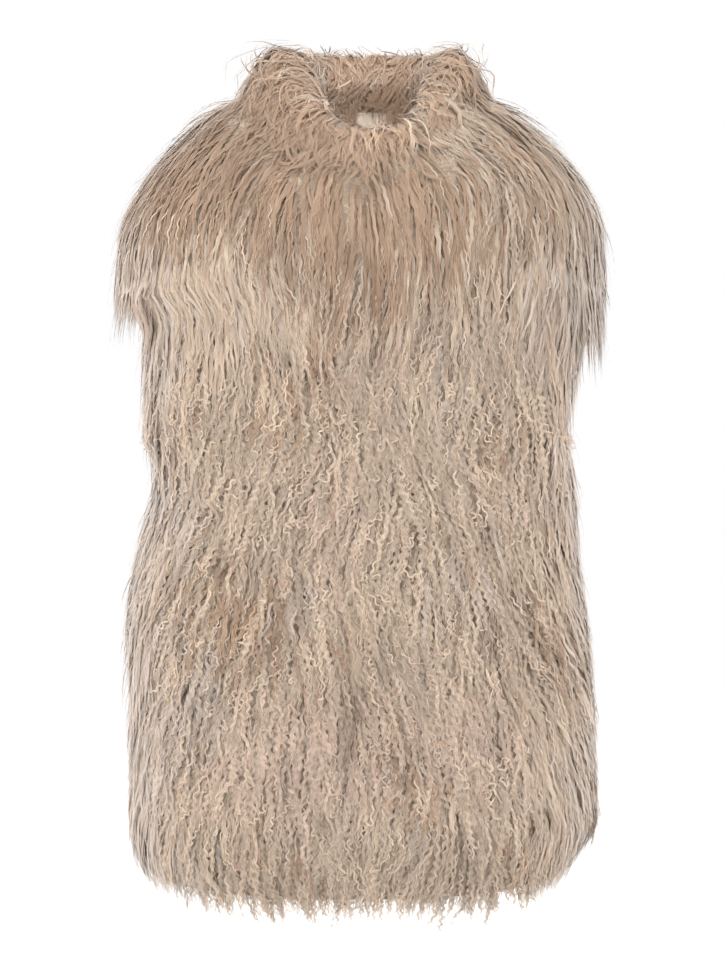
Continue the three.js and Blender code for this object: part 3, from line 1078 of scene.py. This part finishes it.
class VEST_OT_label(bpy.types.Operator):
    """The bare woven label inside the back neck, sewn on all round"""

    bl_idname = "vest.label"
    bl_label = "Label"

    def execute(self, context):
        depth = SEAM_GAP + LABEL_THICKNESS
        mesh = grid_mesh("neck_label_cloth", lambda a, v: label_points(a, v, depth), 28, 14, False)
        label = link(mesh, "neck_label_cloth", cached("label", label_material), "neck_label")
        thicken(label, LABEL_THICKNESS, -1.0)
        sewing = link(self.stitches(depth), "neck_label_stitches", cached("thread", thread_material))
        return {"FINISHED"}

    def stitches(self, depth):
        """Short plump stitches a little inside the label's edge."""
        wide = LABEL_WIDTH - 2 * STITCH_INSET
        high = LABEL_HEIGHT - 2 * STITCH_INSET
        around = []
        for length, start, run in (
            (wide, (0, 0), (1, 0)),
            (high, (wide, 0), (0, 1)),
            (wide, (wide, high), (-1, 0)),
            (high, (0, high), (0, -1)),
        ):
            count = round(length / STITCH_SPACING)
            for i in range(count):
                middle = (i + 0.5) * length / count
                around.append((start[0] + run[0] * middle, start[1] + run[1] * middle, run[0] != 0))
        made = bmesh.new()
        for x, y, level in around:
            across = np.array([(STITCH_INSET + x) / LABEL_WIDTH])
            up = np.array([(STITCH_INSET + y) / LABEL_HEIGHT])
            here = label_points(across, up, depth)[0] * MM
            along = label_points(across + 0.01 * level, up + 0.01 * (not level), depth)[0] * MM
            heading = Vector(along) - Vector(here)
            turn = heading.to_track_quat("X", "Z").to_matrix().to_4x4()
            made_here = bmesh.ops.create_icosphere(made, subdivisions=1, radius=1.0)["verts"]
            bmesh.ops.scale(made, verts=made_here, vec=[size * MM for size in STITCH_SIZE])
            bmesh.ops.transform(made, verts=made_here, matrix=turn)
            bmesh.ops.translate(made, verts=made_here, vec=here)
        mesh = bpy.data.meshes.new("neck_label_stitches")
        made.to_mesh(mesh)
        made.free()
        return mesh


class VEST_OT_stage(bpy.types.Operator):
    """Pale floor, soft lights and the camera"""

    bl_idname = "vest.stage"
    bl_label = "Floor, lights and camera"

    camera_distance = 3.2
    frame_width = 0.724
    frame_centre_z = -0.3725
    floor_z = -0.99

    # Soft area lights that all look at the vest's middle: name, place, size in metres and power in watts
    lamps = (
        ("key", (-1.6, -2.4, 1.6), 1.8, 24),
        ("fill", (2.0, -2.6, 0.4), 2.2, 12),
        ("top", (0.0, 0.2, 2.2), 1.8, 10),
        ("rear_left", (-2.2, 2.0, 0.8), 2.0, 26),
        ("rear_right", (2.2, 2.0, 0.8), 2.0, 26),
    )
    neck_lamp_place = (0.1, -1.7, 1.0)
    neck_middle = (0.01, 0.06, 0.02)

    def execute(self, context):
        self.floor()
        self.lights()
        self.camera()
        return {"FINISHED"}

    def floor(self):
        made = bmesh.new()
        bmesh.ops.create_grid(made, x_segments=1, y_segments=1, size=40.0)
        bmesh.ops.translate(made, verts=made.verts, vec=(0, 0, self.floor_z))
        mesh = bpy.data.meshes.new("floor")
        made.to_mesh(mesh)
        made.free()
        floor = bpy.data.objects.new("floor", mesh)
        bpy.context.scene.collection.objects.link(floor)
        shader = Shader("floor")
        mesh.materials.append(shader.finish((*linear(colours().stage), 1.0), 0.9))

    def lights(self):
        world = bpy.data.worlds.new("studio")
        world.use_nodes = True
        background = world.node_tree.nodes["Background"]
        background.inputs["Color"].default_value = (1.0, 1.0, 1.0, 1.0)
        background.inputs["Strength"].default_value = 1.0
        bpy.context.scene.world = world
        for name, place, size, power in self.lamps:
            light = self.lamp(name, "AREA", power, place, (0, 0, self.frame_centre_z))
            light.size = size
        spot_light = self.lamp("neck", "SPOT", 180, self.neck_lamp_place, self.neck_middle)
        spot_light.shadow_soft_size = 0.15
        spot_light.spot_size = math.radians(10)
        spot_light.spot_blend = 1.0

    @staticmethod
    def lamp(name, kind, power, place, target):
        """A light at a place that looks at a target. Gives its data."""
        data = bpy.data.lights.new(name, kind)
        data.energy = power
        lamp = bpy.data.objects.new(name, data)
        lamp.location = place
        aim = Vector(target) - Vector(place)
        lamp.rotation_euler = aim.to_track_quat("-Z", "Y").to_euler()
        bpy.context.scene.collection.objects.link(lamp)
        return data

    def camera(self):
        data = bpy.data.cameras.new("camera")
        data.sensor_fit = "HORIZONTAL"
        data.sensor_width = 36.0
        data.lens = data.sensor_width * self.camera_distance / self.frame_width
        camera = bpy.data.objects.new("camera", data)
        camera.location = (0, -self.camera_distance, self.frame_centre_z)
        camera.rotation_euler = (math.pi / 2, 0, 0)
        scene = bpy.context.scene
        scene.collection.objects.link(camera)
        scene.camera = camera
        scene.view_settings.view_transform = "Standard"
        scene.cycles.transparent_max_bounces = 20


class VEST_PT_panel(bpy.types.Panel):
    """Sizes, colours and the pieces of the vest"""

    bl_idname = "VEST_PT_panel"
    bl_label = "Shearling vest"
    bl_space_type = "VIEW_3D"
    bl_region_type = "UI"
    bl_category = "Vest"

    def draw(self, context):
        for group in (context.scene.vest_wool, context.scene.vest_colours):
            box = self.layout.box()
            for name in group.__annotations__:
                box.prop(group, name)
        for operator in OPERATORS:
            self.layout.operator(operator.bl_idname)


OPERATORS = (VEST_OT_stage, VEST_OT_front, VEST_OT_back, VEST_OT_collar, VEST_OT_label)
CLASSES = (WoolSizes, VestColours, *OPERATORS, VEST_PT_panel)


def register():
    for each in CLASSES:
        bpy.utils.register_class(each)
    bpy.types.Scene.vest_wool = PointerProperty(type=WoolSizes)
    bpy.types.Scene.vest_colours = PointerProperty(type=VestColours)


def unregister():
    del bpy.types.Scene.vest_colours
    del bpy.types.Scene.vest_wool
    for each in reversed(CLASSES):
        bpy.utils.unregister_class(each)


def main():
    register()
    bpy.ops.vest.stage()
    bpy.ops.vest.front()
    bpy.ops.vest.back()
    bpy.ops.vest.collar()
    bpy.ops.vest.label()


if __name__ == "__main__":
    main()
